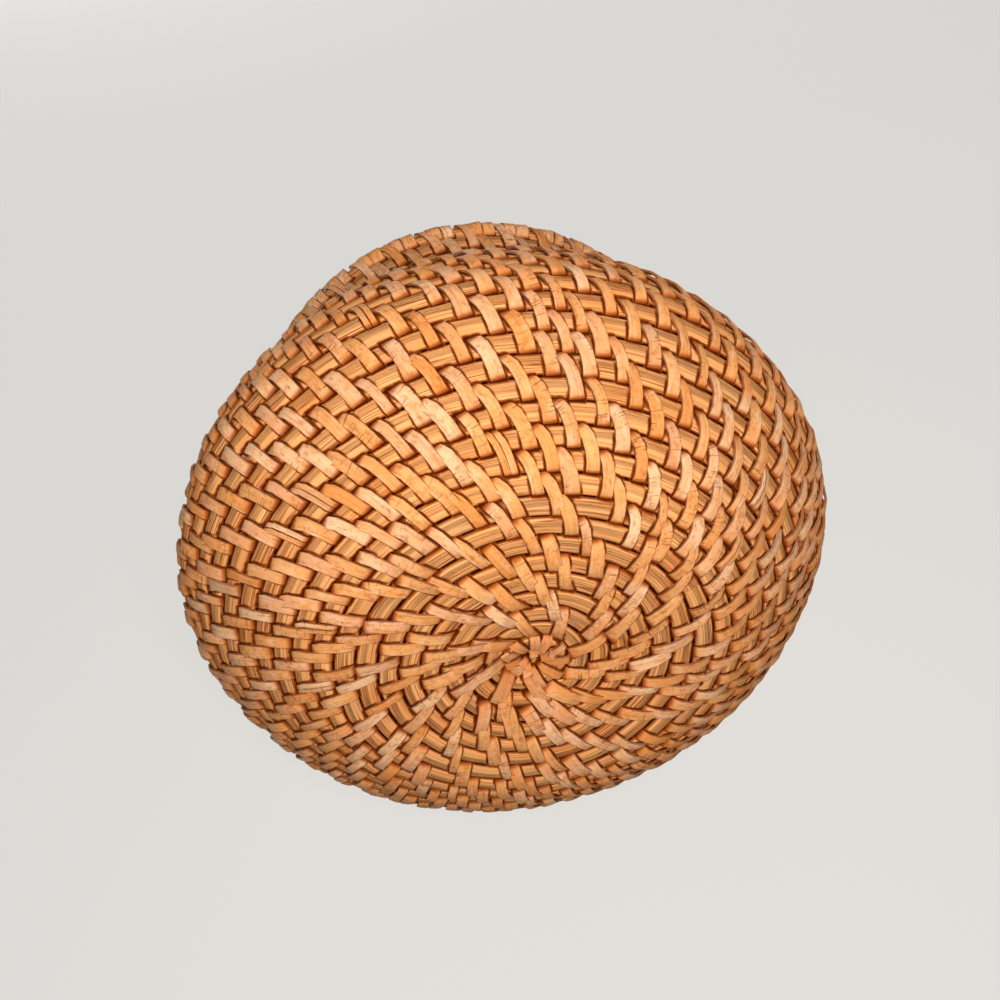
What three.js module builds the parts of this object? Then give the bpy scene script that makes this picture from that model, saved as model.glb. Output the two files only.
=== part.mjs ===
import * as THREE from 'three';

// A coiled rattan vase, in millimetres, +Z up, standing on z = 0 round the origin.
// Core cane winds out from the middle of the base and up the wall, round after round.
// Peel strips lash each round to the one before it, and every stitch passes over two rounds.
// The strips modelled here are those of the base and of the rim.

// Outline of the vase, measured over the lashing
const height = 118.6;
const rimRadius = 75;
const rimFlare = 24;
const collarHeight = 27;
const waistRadius = 68;
const bellyRadius = 92.3;
const bellyHeight = 40;
const footOuterRadius = 44.5;
const footInnerRadius = 31;
const baseHollow = 3.6;

// Fullness of each curve of the outline: its handle as a share of the stretch
const footFullness = 0.42;
const underBellyFullness = 0.34;
const shoulderFullness = 0.73;
const waistFullness = 0.37;
const rimFullness = 0.37;

// Core cane, flat with bevelled edges, laid as a spiral and spliced with scarf joints
const coilPitch = 5.6;
const caneThickness = 3.4;
const caneBevel = 0.9;
const widestBevelShare = 1 / 3;
const caneCount = 12;
const spliceTip = 0.5;
const spliceGap = 0.3;
const firstRound = 0.6;
const startAzimuth = -70;
const rimTaper = 1;
const rimTaperTip = 0.2;
const facetsPerRound = 20;

// Peel strips, wound round two rounds of cane at a time
const stripWidth = 2.4;
const stripThickness = 0.4;
const stripSideClearance = 0.25;
const stripFaceClearance = 0.05;
const stitchClearance = 0.25;
const stitchLean = 0.41;
const firstStitchRound = 1.6;
const rimLashedRounds = 1.5;
const stitchesPerStrip = 36;

const roughness = 0.75;
const caneColour = 0xb07a42;
const stripColour = 0xd9a057;

// A stitch holds a round and the one above it, and so reaches this many rounds over its place
const stitchReach = 1.5;

// A strip lies in each gap between rounds, and four strips share the length of one stitch:
// beside it on the outside and on the inside there is room for the neighbouring round's stitch
const roundGap = stripThickness + 2 * stripSideClearance;
const stitchRoom = stripWidth + stitchClearance;
const stitchSpacing = 4 * stitchRoom;
const lean = stitchLean * stitchSpacing;
const stitchShift = stitchRoom + lean / 2;

// A straight strip cuts the corner between two facets of the cane, and stays clear of it
const cornerRise = (stripWidth + lean / 2) / 2 * Math.tan(Math.PI / facetsPerRound);
const lashClearance = cornerRise + stripFaceClearance;
const caneWidth = coilPitch - roundGap;
const caneOuterDepth = stripThickness + lashClearance;
const caneInnerDepth = caneOuterDepth + caneThickness;
const lashInnerDepth = caneInnerDepth + lashClearance;
const wallDepth = lashInnerDepth + stripThickness;

// Outline from the base centre to the rim, as radius and height
function makeOutline() {
  const waistHeight = height - collarHeight;
  const flare = THREE.MathUtils.degToRad(rimFlare);
  const centre = new THREE.Vector2(0, baseHollow);
  const innerFoot = new THREE.Vector2(footInnerRadius, 0);
  const outerFoot = new THREE.Vector2(footOuterRadius, 0);
  const belly = new THREE.Vector2(bellyRadius, bellyHeight);
  const waist = new THREE.Vector2(waistRadius, waistHeight);
  const rim = new THREE.Vector2(rimRadius, height);
  const handle = (point, right, up) => new THREE.Vector2(point.x + right, point.y + up);
  const footReach = footFullness * (bellyRadius - footOuterRadius);
  const bellyDrop = underBellyFullness * bellyHeight;
  const shoulderRise = shoulderFullness * (waistHeight - bellyHeight);
  const waistDrop = waistFullness * (waistHeight - bellyHeight);
  const waistRise = waistFullness * collarHeight;
  const rimReach = rimFullness * collarHeight;
  const path = new THREE.CurvePath();
  path.add(new THREE.QuadraticBezierCurve(centre, new THREE.Vector2(footInnerRadius / 2, 0), innerFoot));
  path.add(new THREE.LineCurve(innerFoot, outerFoot));
  path.add(new THREE.CubicBezierCurve(
    outerFoot, handle(outerFoot, footReach, 0), handle(belly, 0, -bellyDrop), belly));
  path.add(new THREE.CubicBezierCurve(
    belly, handle(belly, 0, shoulderRise), handle(waist, 0, -waistDrop), waist));
  path.add(new THREE.CubicBezierCurve(
    waist, handle(waist, 0, waistRise),
    handle(rim, -rimReach * Math.sin(flare), -rimReach * Math.cos(flare)), rim));
  return path;
}

const outline = makeOutline();
const outlineLength = outline.getLength();
const footEnd = outline.getCurveLengths()[1];
const rimEdge = caneWidth * (rimTaperTip - 0.5) + (roundGap + stripThickness) / 2;
const lastRound = (outlineLength - rimEdge) / coilPitch;
const firstStation = Math.round(firstRound * facetsPerRound);
const lastStation = Math.floor(lastRound * facetsPerRound);

// Point of the wall at a distance along the outline and a depth under its outer face
function onWall(distance, depth) {
  const share = Math.min(distance / outlineLength, 1);
  const point = outline.getPoint(share);
  const along = outline.getTangent(share);
  return new THREE.Vector2(point.x - along.y * depth, point.y + along.x * depth);
}

function atStation(station, offset, depth) {
  const rounds = station / facetsPerRound;
  const wall = onWall(rounds * coilPitch + offset, depth);
  const azimuth = THREE.MathUtils.degToRad(startAzimuth) + rounds * 2 * Math.PI;
  return new THREE.Vector3(wall.x * Math.cos(azimuth), wall.x * Math.sin(azimuth), wall.y);
}

// Point beside the cane's centre line, on the straight facet between two stations of the spiral
function atRound(round, offset, depth) {
  const station = round * facetsPerRound;
  const before = Math.floor(station);
  const from = atStation(before, offset, depth);
  const to = atStation(before + 1, offset, depth);
  return from.lerp(to, station - before);
}

function circumference(round, offset) {
  return 2 * Math.PI * onWall(round * coilPitch + offset, 0).x;
}

// Closed solid through rings of as many corners each, with flat ends
function loft(rings) {
  const corners = rings[0].length;
  const positions = rings.flat().flatMap((corner) => corner.toArray());
  const faces = [];
  for (let ring = 0; ring < rings.length - 1; ring += 1) {
    for (let corner = 0; corner < corners; corner += 1) {
      const next = (corner + 1) % corners;
      const a = ring * corners + corner;
      const b = ring * corners + next;
      const c = (ring + 1) * corners + next;
      const d = (ring + 1) * corners + corner;
      faces.push(a, b, c, a, c, d);
    }
  }
  const last = (rings.length - 1) * corners;
  for (let corner = 1; corner < corners - 1; corner += 1) {
    faces.push(0, corner + 1, corner);
    faces.push(last, last + corner, last + corner + 1);
  }
  const geometry = new THREE.BufferGeometry();
  geometry.setAttribute('position', new THREE.Float32BufferAttribute(positions, 3));
  geometry.setIndex(faces);
  geometry.computeVertexNormals();
  return geometry;
}

// Upper edge of the cane, which is pared down at its end so that the rim closes level
function upperEdge(round) {
  const intoTaper = Math.max(0, round - (lastRound - rimTaper)) / rimTaper;
  const share = 1 - (1 - rimTaperTip) * Math.min(intoTaper, 1);
  return caneWidth * (share - 0.5);
}

function caneSection(station, outerDepth, innerDepth) {
  const round = station / facetsPerRound;
  const low = -caneWidth / 2;
  const high = upperEdge(round);
  const bevel = Math.min(caneBevel, (high - low) * widestBevelShare);
  const middle = (outerDepth + innerDepth) / 2;
  return [
    atRound(round, low, middle),
    atRound(round, low + bevel, innerDepth),
    atRound(round, high - bevel, innerDepth),
    atRound(round, high, middle),
    atRound(round, high - bevel, outerDepth),
    atRound(round, low + bevel, outerDepth),
  ];
}

// Stations where one length of cane runs out and the next, as long, is spliced on
function findSplices() {
  const middle = (caneOuterDepth + caneInnerDepth) / 2;
  const laid = [0];
  for (let station = firstStation; station < lastStation; station += 1) {
    const step = atStation(station, 0, middle).distanceTo(atStation(station + 1, 0, middle));
    laid.push(laid[laid.length - 1] + step);
  }
  const caneLength = laid[laid.length - 1] / caneCount;
  const splices = [];
  for (let cane = 1; cane < caneCount; cane += 1) {
    splices.push(firstStation + laid.findIndex((length) => length >= cane * caneLength));
  }
  return splices;
}

// Each scarf lies within one facet, and its two pared tips stop short so that the slopes keep spliceGap
function coreCane(startSplice, endSplice) {
  const tipShare = (spliceGap + spliceTip) / (caneThickness + spliceGap);
  const rings = [];
  let station = firstStation;
  if (startSplice !== undefined) {
    rings.push(caneSection(startSplice + tipShare, caneInnerDepth - spliceTip, caneInnerDepth));
    station = startSplice + 1;
  }
  const end = endSplice ?? lastStation;
  for (; station <= end; station += 1) {
    rings.push(caneSection(station, caneOuterDepth, caneInnerDepth));
  }
  if (endSplice !== undefined) {
    rings.push(caneSection(endSplice + 1 - tipShare, caneOuterDepth, caneOuterDepth + spliceTip));
  }
  return loft(rings);
}

// Places of the stitches, as rounds of the lower of the two rounds that each one holds.
// A stitch stands a little back from the one below it, and a gap that has grown too wide gets one more.
function placeStitches(from, to) {
  const places = [from];
  let below = 0;
  for (;;) {
    const last = places[places.length - 1];
    const step = stitchSpacing / circumference(last, coilPitch / 2);
    const shift = stitchShift / circumference(places[below], coilPitch / 2);
    const beside = places[below] + 1 - shift;
    let next = last + step;
    if (next + step > beside) {
      next = beside;
      below += 1;
    }
    if (next > to) {
      return places;
    }
    places.push(next);
  }
}

function stripSection(round, innerOffset, innerDepth, outerOffset, outerDepth) {
  const turn = stripWidth / 2 / circumference(round, innerOffset);
  return [
    atRound(round - turn, innerOffset, innerDepth),
    atRound(round + turn, innerOffset, innerDepth),
    atRound(round + turn, outerOffset, outerDepth),
    atRound(round - turn, outerOffset, outerDepth),
  ];
}

// One strip: down the outside of two rounds, in below them, up the inside, out above them, and again
function lashingStrip(places) {
  const low = -coilPitch / 2;
  const middle = coilPitch / 2;
  const half = stripThickness / 2;
  const top = (round) => coilPitch + upperEdge(round + 1) + roundGap / 2;
  const rings = [];
  for (let stitch = 0; stitch < places.length - 1; stitch += 1) {
    const round = places[stitch];
    const nextRound = places[stitch + 1];
    const leanTurn = lean / circumference(round, middle);
    const topRound = round - leanTurn;
    const nextTop = nextRound - leanTurn;
    rings.push(stripSection(topRound, top(topRound) - half, stripThickness, top(topRound) + half, 0));
    rings.push(stripSection(round - leanTurn / 2, middle, stripThickness, middle, 0));
    rings.push(stripSection(round, low + half, stripThickness, low - half, 0));
    rings.push(stripSection(round, low + half, lashInnerDepth, low - half, wallDepth));
    rings.push(stripSection((round + nextTop) / 2, middle, lashInnerDepth, middle, wallDepth));
    rings.push(stripSection(nextTop, top(nextTop) - half, lashInnerDepth, top(nextTop) + half, wallDepth));
  }
  return loft(rings);
}

function addMesh(group, name, geometry, colour) {
  const material = new THREE.MeshStandardMaterial({ color: colour, roughness, metalness: 0 });
  const mesh = new THREE.Mesh(geometry, material);
  mesh.name = name;
  group.add(mesh);
}

const numbered = (name, index) => `${name}_${String(index + 1).padStart(2, '0')}`;

function addCanes(group) {
  const splices = findSplices();
  const starts = [undefined, ...splices];
  const ends = [...splices, undefined];
  starts.forEach((start, index) => {
    addMesh(group, numbered('core_cane', index), coreCane(start, ends[index]), caneColour);
  });
}

function addLashing(group, name, from, to) {
  const places = placeStitches(from, to);
  const stripCount = Math.ceil((places.length - 1) / stitchesPerStrip);
  const share = Math.ceil((places.length - 1) / stripCount);
  for (let strip = 0; strip < stripCount; strip += 1) {
    const own = places.slice(strip * share, (strip + 1) * share + 1);
    addMesh(group, numbered(name, strip), lashingStrip(own), stripColour);
  }
}

const vase = new THREE.Group();
addCanes(vase);
addLashing(vase, 'base_lashing', firstStitchRound, footEnd / coilPitch - stitchReach);
addLashing(vase, 'rim_lashing', lastRound - 1 - rimLashedRounds, lastRound - 1);

export default vase;
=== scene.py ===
import bisect
import math
import bmesh
import bpy
import numpy as np
from mathutils import Matrix, Vector


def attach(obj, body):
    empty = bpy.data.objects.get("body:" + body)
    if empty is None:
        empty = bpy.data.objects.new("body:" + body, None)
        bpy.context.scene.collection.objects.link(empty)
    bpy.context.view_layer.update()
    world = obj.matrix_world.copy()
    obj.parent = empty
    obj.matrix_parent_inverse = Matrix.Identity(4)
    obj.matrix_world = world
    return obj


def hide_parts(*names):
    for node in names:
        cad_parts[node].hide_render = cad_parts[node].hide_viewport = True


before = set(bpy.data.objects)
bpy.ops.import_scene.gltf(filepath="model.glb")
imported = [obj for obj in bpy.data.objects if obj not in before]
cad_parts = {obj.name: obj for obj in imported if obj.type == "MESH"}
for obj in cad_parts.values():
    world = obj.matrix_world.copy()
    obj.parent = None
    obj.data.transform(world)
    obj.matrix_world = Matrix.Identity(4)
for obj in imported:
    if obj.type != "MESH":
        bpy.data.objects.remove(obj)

scene = bpy.context.scene
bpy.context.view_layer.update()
mm = 0.001
perMetre = 1000.0


# the outline of the vase over its lashing, radius and height in millimetres
vaseShape = {
    "height": 118.6, "rimRadius": 75, "rimFlare": 24, "collarHeight": 27, "waistRadius": 68,
    "bellyRadius": 92.3, "bellyHeight": 40, "footOuter": 44.5, "footInner": 31, "baseHollow": 3.6,
    "footFullness": 0.42, "underBellyFullness": 0.34, "shoulderFullness": 0.73,
    "waistFullness": 0.37, "rimFullness": 0.37, "finePoints": 400, "stations": 4000,
}


def unit(vectors):
    return vectors / np.maximum(np.linalg.norm(vectors, axis=1), 1e-9)[:, None]


def bezierPoints(controls, count):
    u = np.linspace(0, 1, count)[:, None]
    points = [np.array(c, float) for c in controls]
    while len(points) > 1:
        points = [a * (1 - u) + b * u for a, b in zip(points[:-1], points[1:])]
    return points[0]


def makeOutline(v):
    waistZ = v["height"] - v["collarHeight"]
    belly = (v["bellyRadius"], v["bellyHeight"])
    waist = (v["waistRadius"], waistZ)
    rim = (v["rimRadius"], v["height"])
    flare = math.radians(v["rimFlare"])
    reach = v["rimFullness"] * v["collarHeight"]
    footReach = v["footFullness"] * (v["bellyRadius"] - v["footOuter"])
    stretches = [
        [(0, v["baseHollow"]), (v["footInner"] / 2, 0), (v["footInner"], 0)],
        [(v["footInner"], 0), (v["footOuter"], 0)],
        [(v["footOuter"], 0), (v["footOuter"] + footReach, 0),
         (belly[0], belly[1] * (1 - v["underBellyFullness"])), belly],
        [belly, (belly[0], belly[1] + v["shoulderFullness"] * (waistZ - belly[1])),
         (waist[0], waistZ - v["waistFullness"] * (waistZ - belly[1])), waist],
        [waist, (waist[0], waistZ + v["waistFullness"] * v["collarHeight"]),
         (rim[0] - reach * math.sin(flare), rim[1] - reach * math.cos(flare)), rim],
    ]
    line = np.vstack([bezierPoints(c, v["finePoints"])[:-1] for c in stretches] + [np.array([rim])])
    steps = np.hypot(*np.diff(line, axis=0).T)
    along = np.concatenate([[0], np.cumsum(steps)])
    even = np.linspace(0, along[-1], v["stations"])
    radius, up = np.interp(even, along, line[:, 0]), np.interp(even, along, line[:, 1])
    tangent = unit(np.stack([np.gradient(radius, even), np.gradient(up, even)], 1))
    return even, radius, up, tangent


outS, outR, outZ, outT = makeOutline(vaseShape)
outlineLength = outS[-1]


# the coil: one round after another, a pitch apart
coil = {
    "pitch": 5.6, "startAzimuth": -70, "firstRound": 0.25, "lengths": 12, "spliceGap": 0.25, "seed": 11,
    "caneWidth": 5.5, "caneThickness": 3.5, "caneDepth": 2.25, "squareness": 0.76, "corners": 14,
    "stationStep": 0.6, "unevenStep": 25, "unevenBreadth": 0.02, "unevenDepth": 0.1, "depthLag": 14,
    "startTaper": 0.5, "startBreadth": 0.5, "startDip": 1.6, "dipRounds": 0.3, "leastRadius": 1.0,
    "rimTaper": 1.0, "rimTaperTip": 0.2, "rimGap": 0.45, "rimFade": 8,
}
pitch = coil["pitch"]
rimTip = coil["caneWidth"] * (coil["rimTaperTip"] - 0.5)
lastRound = (outlineLength - rimTip - coil["rimGap"]) / pitch

# slow unevenness of hand work, shared by a round and its neighbours: size, waves a round, drift, phase
wobble = {
    "depth": ((0.28, 3, 0.11, 1.3), (0.2, 5, -0.07, 0.4), (0.12, 11, 0.31, 0)),
    "slide": ((0.22, 2, 0.05, 2.0), (0.15, 7, 0.13, 0)),
    "depthShare": 0.6, "leastDepth": -0.1, "slideFrom": 30,
}


def waves(rows, s, azimuth):
    return sum(size * np.sin(count * azimuth + drift * s + phase) for size, count, drift, phase in rows)


def handWobble(s, azimuth):
    depth = np.maximum(waves(wobble["depth"], s, azimuth), wobble["leastDepth"]) * wobble["depthShare"]
    slide = waves(wobble["slide"], s, azimuth) * np.clip(s / wobble["slideFrom"], 0, 1)
    return depth, slide


def azimuthAt(rounds):
    return math.radians(coil["startAzimuth"]) + 2 * math.pi * np.asarray(rounds, float)


def onWall(rounds, offset, depth):
    # a point beside the coil's centre line, offset up the wall and depth under its outer face
    rounds, offset, depth = np.broadcast_arrays(*(np.asarray(a, float) for a in (rounds, offset, depth)))
    azimuth = azimuthAt(rounds)
    s = rounds * pitch + offset
    moreDepth, slide = handWobble(s, azimuth)
    s = s + slide
    inside = np.clip(s, 0, outlineLength)
    beyond = s - inside
    tr, tz = np.interp(inside, outS, outT[:, 0]), np.interp(inside, outS, outT[:, 1])
    deep = depth + moreDepth
    r = np.interp(inside, outS, outR) + tr * beyond - tz * deep
    z = np.interp(inside, outS, outZ) + tz * beyond + tr * deep
    return np.stack([r * np.cos(azimuth), r * np.sin(azimuth), z], -1)


def girth(rounds, offset):
    return 2 * math.pi * max(np.interp(rounds * pitch + offset, outS, outR), coil["leastRadius"])


def upperShare(rounds):
    # the cane is pared down over its last round, so that the rim closes level
    taper = np.clip((np.asarray(rounds, float) - lastRound + coil["rimTaper"]) / coil["rimTaper"], 0, 1)
    return 1 - (1 - coil["rimTaperTip"]) * taper


def rowDirection(rounds):
    azimuth = azimuthAt(rounds)
    return np.stack([-np.sin(azimuth), np.cos(azimuth), np.zeros_like(azimuth)], -1)


def facing(points, rounds):
    # the side of a strip that faces out, from the way it runs and the way the row runs
    run = unit(np.gradient(points, axis=0))
    across = rowDirection(rounds)
    across = unit(across - run * np.sum(run * across, 1)[:, None])
    return np.cross(run, across)


print("outline and coil ready, rounds:", round(lastRound, 2))


# shared pieces of node trees

def addInput(tree, kind, name, default=None):
    socket = tree.interface.new_socket(name, in_out="INPUT", socket_type="NodeSocket" + kind)
    if default is not None:
        socket.default_value = default


def addOutput(tree, kind, name):
    tree.interface.new_socket(name, in_out="OUTPUT", socket_type="NodeSocket" + kind)


def link(tree, fromSocket, toSocket):
    tree.links.new(fromSocket, toSocket)


def feed(tree, value, socket):
    # a number or a colour is set on the socket, another socket is linked to it
    if isinstance(value, (int, float)):
        socket.default_value = value
    elif isinstance(value, tuple):
        socket.default_value = (*value, 1)
    else:
        link(tree, value, socket)


def mathNode(tree, operation, a, b=None, clamp=False):
    node = tree.nodes.new("ShaderNodeMath")
    node.operation = operation
    node.use_clamp = clamp
    feed(tree, a, node.inputs[0])
    if b is not None:
        feed(tree, b, node.inputs[1])
    return node.outputs[0]


def times(tree, a, b):
    return mathNode(tree, "MULTIPLY", a, b)


def over(tree, a, b):
    return mathNode(tree, "DIVIDE", a, b)


def minus(tree, a, b, clamp=False):
    return mathNode(tree, "SUBTRACT", a, b, clamp)


def storeAttribute(tree, geometry, name, value, kind="FLOAT"):
    node = tree.nodes.new("GeometryNodeStoreNamedAttribute")
    node.data_type = kind
    node.domain = "POINT"
    node.inputs["Name"].default_value = name
    link(tree, geometry, node.inputs["Geometry"])
    link(tree, value, node.inputs["Value"])
    return node.outputs[0]


def readAttribute(tree, name, kind="FLOAT"):
    node = tree.nodes.new("GeometryNodeInputNamedAttribute")
    node.data_type = kind
    node.inputs["Name"].default_value = name
    return node.outputs[0]


# sizes in metres; shade is painted on a cane where a strip lies nearer than reach,
# and an edge bent more than crease, in radians, stays sharp
sectionSizes = {"Width": 0.003, "Thickness": 0.0005, "Squareness": 0.5, "Crown": 0.0001, "Corners": 6}
sweepLook = {"touching": 0.0003, "reach": 0.0009, "crease": 1.0, "seedStep": 17.0}


def addSectionInputs(tree):
    for name, value in sectionSizes.items():
        addInput(tree, "Int" if name == "Corners" else "Float", name, value)


def makeFlatSection():
    # a flat rounded section: thickness along X, width along Y, crowned on its outer side
    tree = bpy.data.node_groups.new("flatSection", "GeometryNodeTree")
    addSectionInputs(tree)
    addOutput(tree, "Geometry", "Curve")
    enter = tree.nodes.new("NodeGroupInput").outputs
    circle = tree.nodes.new("GeometryNodeCurvePrimitiveCircle")
    circle.mode = "RADIUS"
    circle.inputs["Radius"].default_value = 1
    link(tree, enter["Corners"], circle.inputs["Resolution"])
    place = tree.nodes.new("GeometryNodeInputPosition")
    split = tree.nodes.new("ShaderNodeSeparateXYZ")
    link(tree, place.outputs[0], split.inputs[0])
    squared = []
    for axis in (0, 1):
        away = mathNode(tree, "ABSOLUTE", split.outputs[axis])
        size = mathNode(tree, "POWER", away, enter["Squareness"])
        squared.append(times(tree, size, mathNode(tree, "SIGN", split.outputs[axis])))
    parameter = tree.nodes.new("GeometryNodeSplineParameter")
    marked = storeAttribute(tree, circle.outputs[0], "across", squared[1])
    marked = storeAttribute(tree, marked, "around", parameter.outputs["Factor"])
    bow = minus(tree, 1.0, mathNode(tree, "POWER", readAttribute(tree, "across"), 2.0))
    thick = times(tree, squared[0], times(tree, enter["Thickness"], 0.5))
    wide = times(tree, squared[1], times(tree, enter["Width"], 0.5))
    join = tree.nodes.new("ShaderNodeCombineXYZ")
    link(tree, mathNode(tree, "ADD", thick, times(tree, bow, enter["Crown"])), join.inputs[0])
    link(tree, wide, join.inputs[1])
    move = tree.nodes.new("GeometryNodeSetPosition")
    link(tree, marked, move.inputs["Geometry"])
    link(tree, join.outputs[0], move.inputs["Position"])
    leave = tree.nodes.new("NodeGroupOutput")
    link(tree, move.outputs[0], leave.inputs[0])
    return tree


flatSection = makeFlatSection()


def markGuides(tree, enter):
    # guide lines become curves that know their facing, their length and two random values for each stitch
    toCurve = tree.nodes.new("GeometryNodeMeshToCurve")
    link(tree, enter["Guides"], toCurve.inputs[0])
    turn = tree.nodes.new("GeometryNodeSetCurveNormal")
    turn.mode = "FREE"
    link(tree, toCurve.outputs[0], turn.inputs[0])
    link(tree, readAttribute(tree, "facing", "FLOAT_VECTOR"), turn.inputs["Normal"])
    heading = tree.nodes.new("GeometryNodeInputTangent")
    sideways = tree.nodes.new("ShaderNodeVectorMath")
    sideways.operation = "CROSS_PRODUCT"
    link(tree, heading.outputs[0], sideways.inputs[0])
    link(tree, readAttribute(tree, "facing", "FLOAT_VECTOR"), sideways.inputs[1])
    parameter = tree.nodes.new("GeometryNodeSplineParameter")
    curve = storeAttribute(tree, turn.outputs[0], "along", parameter.outputs["Length"])
    curve = storeAttribute(tree, curve, "sideways", sideways.outputs[0], "FLOAT_VECTOR")
    for index, label in enumerate(("tint", "chance")):
        dice = tree.nodes.new("FunctionNodeRandomValue")
        dice.data_type = "FLOAT"
        link(tree, readAttribute(tree, "stitch", "INT"), dice.inputs["ID"])
        seed = mathNode(tree, "ADD", enter["Seed"], sweepLook["seedStep"] * index)
        link(tree, seed, dice.inputs["Seed"])
        curve = storeAttribute(tree, curve, label, dice.outputs[1])
    return curve


def sweepSection(tree, enter, curve):
    section = tree.nodes.new("GeometryNodeGroup")
    section.node_tree = flatSection
    for label in sectionSizes:
        link(tree, enter[label], section.inputs[label])
    sweep = tree.nodes.new("GeometryNodeCurveToMesh")
    sweep.inputs["Fill Caps"].default_value = True
    link(tree, curve, sweep.inputs["Curve"])
    link(tree, section.outputs[0], sweep.inputs["Profile Curve"])
    widen = tree.nodes.new("ShaderNodeVectorMath")   # breadth changes the width and leaves the thickness
    widen.operation = "SCALE"
    more = times(tree, minus(tree, readAttribute(tree, "breadth"), 1.0), times(tree, enter["Width"], 0.5))
    link(tree, readAttribute(tree, "sideways", "FLOAT_VECTOR"), widen.inputs[0])
    link(tree, times(tree, more, readAttribute(tree, "across")), widen.inputs["Scale"])
    move = tree.nodes.new("GeometryNodeSetPosition")
    link(tree, sweep.outputs[0], move.inputs["Geometry"])
    link(tree, widen.outputs[0], move.inputs["Offset"])
    return move.outputs[0]


def markContact(tree, enter, shape):
    # how much shade is painted on the cane: full within touching of a strip, none beyond reach
    strips = tree.nodes.new("GeometryNodeCollectionInfo")
    link(tree, enter["Strips"], strips.inputs["Collection"])
    solid = tree.nodes.new("GeometryNodeRealizeInstances")
    link(tree, strips.outputs[0], solid.inputs[0])
    near = tree.nodes.new("GeometryNodeProximity")
    near.target_element = "FACES"
    link(tree, solid.outputs[0], near.inputs[0])
    left = minus(tree, enter["Reach"], near.outputs["Distance"])
    most = minus(tree, enter["Reach"], enter["Touching"])
    return storeAttribute(tree, shape, "contact", mathNode(tree, "DIVIDE", left, most, True))


def makeSweep(name, besideStrips=False):
    # guide lines with a facing become flat strips or canes; a cane learns how close the strips lie, for
    # the shade painted beside them
    tree = bpy.data.node_groups.new(name, "GeometryNodeTree")
    addInput(tree, "Geometry", "Guides")
    addSectionInputs(tree)
    addInput(tree, "Int", "Seed", 1)
    if besideStrips:
        addInput(tree, "Collection", "Strips")
        addInput(tree, "Float", "Touching", sweepLook["touching"])
        addInput(tree, "Float", "Reach", sweepLook["reach"])
    addInput(tree, "Material", "Material")
    addOutput(tree, "Geometry", "Geometry")
    enter = tree.nodes.new("NodeGroupInput").outputs
    shape = sweepSection(tree, enter, markGuides(tree, enter))
    if besideStrips:
        shape = markContact(tree, enter, shape)
    bend = tree.nodes.new("GeometryNodeInputMeshEdgeAngle")
    crease = tree.nodes.new("GeometryNodeSetShadeSmooth")
    crease.domain = "EDGE"
    crease.inputs["Shade Smooth"].default_value = False
    link(tree, shape, crease.inputs[0])
    sharp = mathNode(tree, "GREATER_THAN", bend.outputs[0], sweepLook["crease"])
    link(tree, sharp, crease.inputs["Selection"])
    smooth = tree.nodes.new("GeometryNodeSetShadeSmooth")
    link(tree, crease.outputs[0], smooth.inputs[0])
    realize = tree.nodes.new("GeometryNodeRealizeInstances")
    link(tree, smooth.outputs[0], realize.inputs[0])
    paint = tree.nodes.new("GeometryNodeSetMaterial")
    link(tree, realize.outputs[0], paint.inputs[0])
    link(tree, enter["Material"], paint.inputs["Material"])
    leave = tree.nodes.new("NodeGroupOutput")
    link(tree, paint.outputs[0], leave.inputs[0])
    return tree


caneSweep = makeSweep("caneSweep", besideStrips=True)
stripSweep = makeSweep("stripSweep")


def makeGuide(name, lines):
    # lines: dictionaries with points in millimetres, facing, breadth, dive for the shade painted in a gap,
    # raw peel on a strip and the lit rim on a cane, and a stitch number
    mesh = bpy.data.meshes.new(name)
    points = np.vstack([line["points"] for line in lines]) * mm
    edges, first = [], 0
    for line in lines:
        count = len(line["points"])
        edges += [(first + i, first + i + 1) for i in range(count - 1)]
        first += count
    mesh.from_pydata(points.tolist(), edges, [])
    sides = np.vstack([line["facing"] for line in lines]).astype(np.float32)
    mesh.attributes.new("facing", "FLOAT_VECTOR", "POINT").data.foreach_set("vector", sides.ravel())
    for label in ("breadth", "dive", "rawPeelAndLitRim"):
        spread = [np.broadcast_to(line.get(label, 0), len(line["points"])) for line in lines]
        values = mesh.attributes.new(label, "FLOAT", "POINT")
        values.data.foreach_set("value", np.concatenate(spread).astype(np.float32))
    stitches = [np.full(len(line["points"]), line["stitch"]) for line in lines]
    numbers = mesh.attributes.new("stitch", "INT", "POINT")
    numbers.data.foreach_set("value", np.concatenate(stitches).astype(np.int32))
    guide = bpy.data.objects.new(name, mesh)
    scene.collection.objects.link(guide)
    return guide


def sweepPiece(name, lines, tree, settings):
    guide = makeGuide(name + "Guide", lines)
    modifier = guide.modifiers.new("sweep", "NODES")
    modifier.node_group = tree
    for item in tree.interface.items_tree:
        if item.in_out == "INPUT" and item.name in settings:
            modifier[item.identifier] = settings[item.name]
    graph = bpy.context.evaluated_depsgraph_get()
    mesh = bpy.data.meshes.new_from_object(guide.evaluated_get(graph))
    guide.modifiers.remove(modifier)
    bpy.data.objects.remove(guide)
    shell = bmesh.new()
    shell.from_mesh(mesh)
    bmesh.ops.recalc_face_normals(shell, faces=shell.faces)
    shell.to_mesh(mesh)
    shell.free()
    mesh.name = name
    piece = bpy.data.objects.new(name, mesh)
    scene.collection.objects.link(piece)
    return piece


def countTriangles(piece):
    return sum(len(p.vertices) - 2 for p in piece.data.polygons)


# finishes

def valueMix(tree, kind, factor, a, b):
    node = tree.nodes.new("ShaderNodeMix")
    node.data_type = kind
    *enter, leave = {"FLOAT": (0, 2, 3, 0), "RGBA": (0, 6, 7, 2)}[kind]   # the sockets of this kind
    for index, value in zip(enter, (factor, a, b)):
        feed(tree, value, node.inputs[index])
    return node.outputs[leave]


def tinted(tree, body, colour, amount):
    return valueMix(tree, "RGBA", amount, body, colour)


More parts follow.
